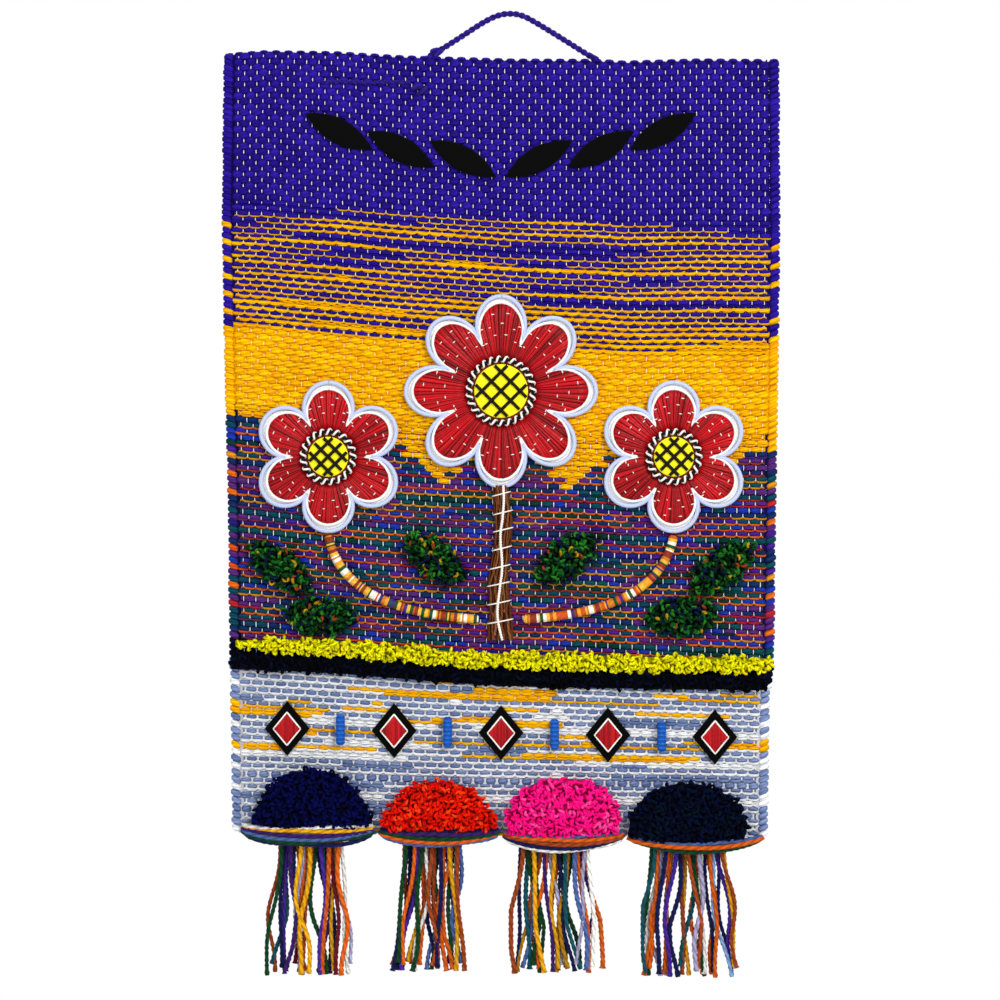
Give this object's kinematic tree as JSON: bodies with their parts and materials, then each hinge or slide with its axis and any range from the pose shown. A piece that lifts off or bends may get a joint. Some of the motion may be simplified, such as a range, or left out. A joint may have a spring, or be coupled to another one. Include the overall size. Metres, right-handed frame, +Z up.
{
  "type": "woven wall hanging",
  "caption": "Hand-woven wall hanging in coloured bands, with sewn felt, satin-stitched and looped-pile ornaments, a yarn fringe below and a twisted cord to hang it by.",
  "frame": {"origin": "the hang point: the centreline of the hanging cord at the top of its loop", "axes": "+Z up, +X to the right as seen from the front, and the front faces -Y, so the wall is on the +Y side"},
  "size_m": [0.3219, 0.0216, 0.5603],
  "materials": {
    "woven_yarn": "matte",
    "purple_yarn": "matte",
    "yellow_pile": "matte",
    "navy_yarn": "matte",
    "navy_pile": "matte",
    "mixed_yarn": "matte",
    "orange_pile": "matte",
    "pink_pile": "matte",
    "dark_pile": "matte",
    "black_felt": "matte",
    "wrapped_yarn": "matte",
    "green_pile": "matte",
    "white_felt": "matte",
    "red_stitching": "matte",
    "striped_cord": "matte",
    "yellow_felt": "matte",
    "brown_yarn": "matte",
    "blue_yarn": "matte"
  },
  "bodies": {
    "root": {"woven_panel": "woven_yarn", "hanging_cord": "purple_yarn", "pile_border": "yellow_pile", "nap_band": "navy_yarn", "pile_pad_1": "navy_pile", "yarn_roll_1": "mixed_yarn", "fringe_1": "mixed_yarn", "pile_pad_2": "orange_pile", "yarn_roll_2": "mixed_yarn", "fringe_2": "mixed_yarn", "pile_pad_3": "pink_pile", "yarn_roll_3": "mixed_yarn", "fringe_3": "mixed_yarn", "pile_pad_4": "dark_pile", "yarn_roll_4": "mixed_yarn", "fringe_4": "mixed_yarn", "felt_leaf_left_1": "black_felt", "felt_leaf_left_2": "black_felt", "felt_leaf_left_3": "black_felt", "side_stem_left": "wrapped_yarn", "pile_leaf_inner_left": "green_pile", "pile_leaf_outer_left": "green_pile", "pile_leaf_lower_left": "green_pile", "felt_leaf_right_1": "black_felt", "felt_leaf_right_2": "black_felt", "felt_leaf_right_3": "black_felt", "side_stem_right": "wrapped_yarn", "pile_leaf_inner_right": "green_pile", "pile_leaf_outer_right": "green_pile", "pile_leaf_lower_right": "green_pile", "flower_middle_ground": "white_felt", "flower_middle_petals": "red_stitching", "flower_middle_ring": "striped_cord", "flower_middle_eye": "yellow_felt", "flower_left_ground": "white_felt", "flower_left_petals": "red_stitching", "flower_left_ring": "striped_cord", "flower_left_eye": "yellow_felt", "flower_right_ground": "white_felt", "flower_right_petals": "red_stitching", "flower_right_ring": "striped_cord", "flower_right_eye": "yellow_felt", "middle_stem": "brown_yarn", "lozenge_1_felt": "black_felt", "lozenge_1_stitched": "red_stitching", "lozenge_2_felt": "black_felt", "lozenge_2_stitched": "red_stitching", "lozenge_3_felt": "black_felt", "lozenge_3_stitched": "red_stitching", "lozenge_4_felt": "black_felt", "lozenge_4_stitched": "red_stitching", "lozenge_5_felt": "black_felt", "lozenge_5_stitched": "red_stitching", "wrapped_bar_1": "blue_yarn", "wrapped_bar_2": "blue_yarn", "wrapped_bar_3": "blue_yarn", "wrapped_bar_4": "blue_yarn"}
  },
  "joints": []
}
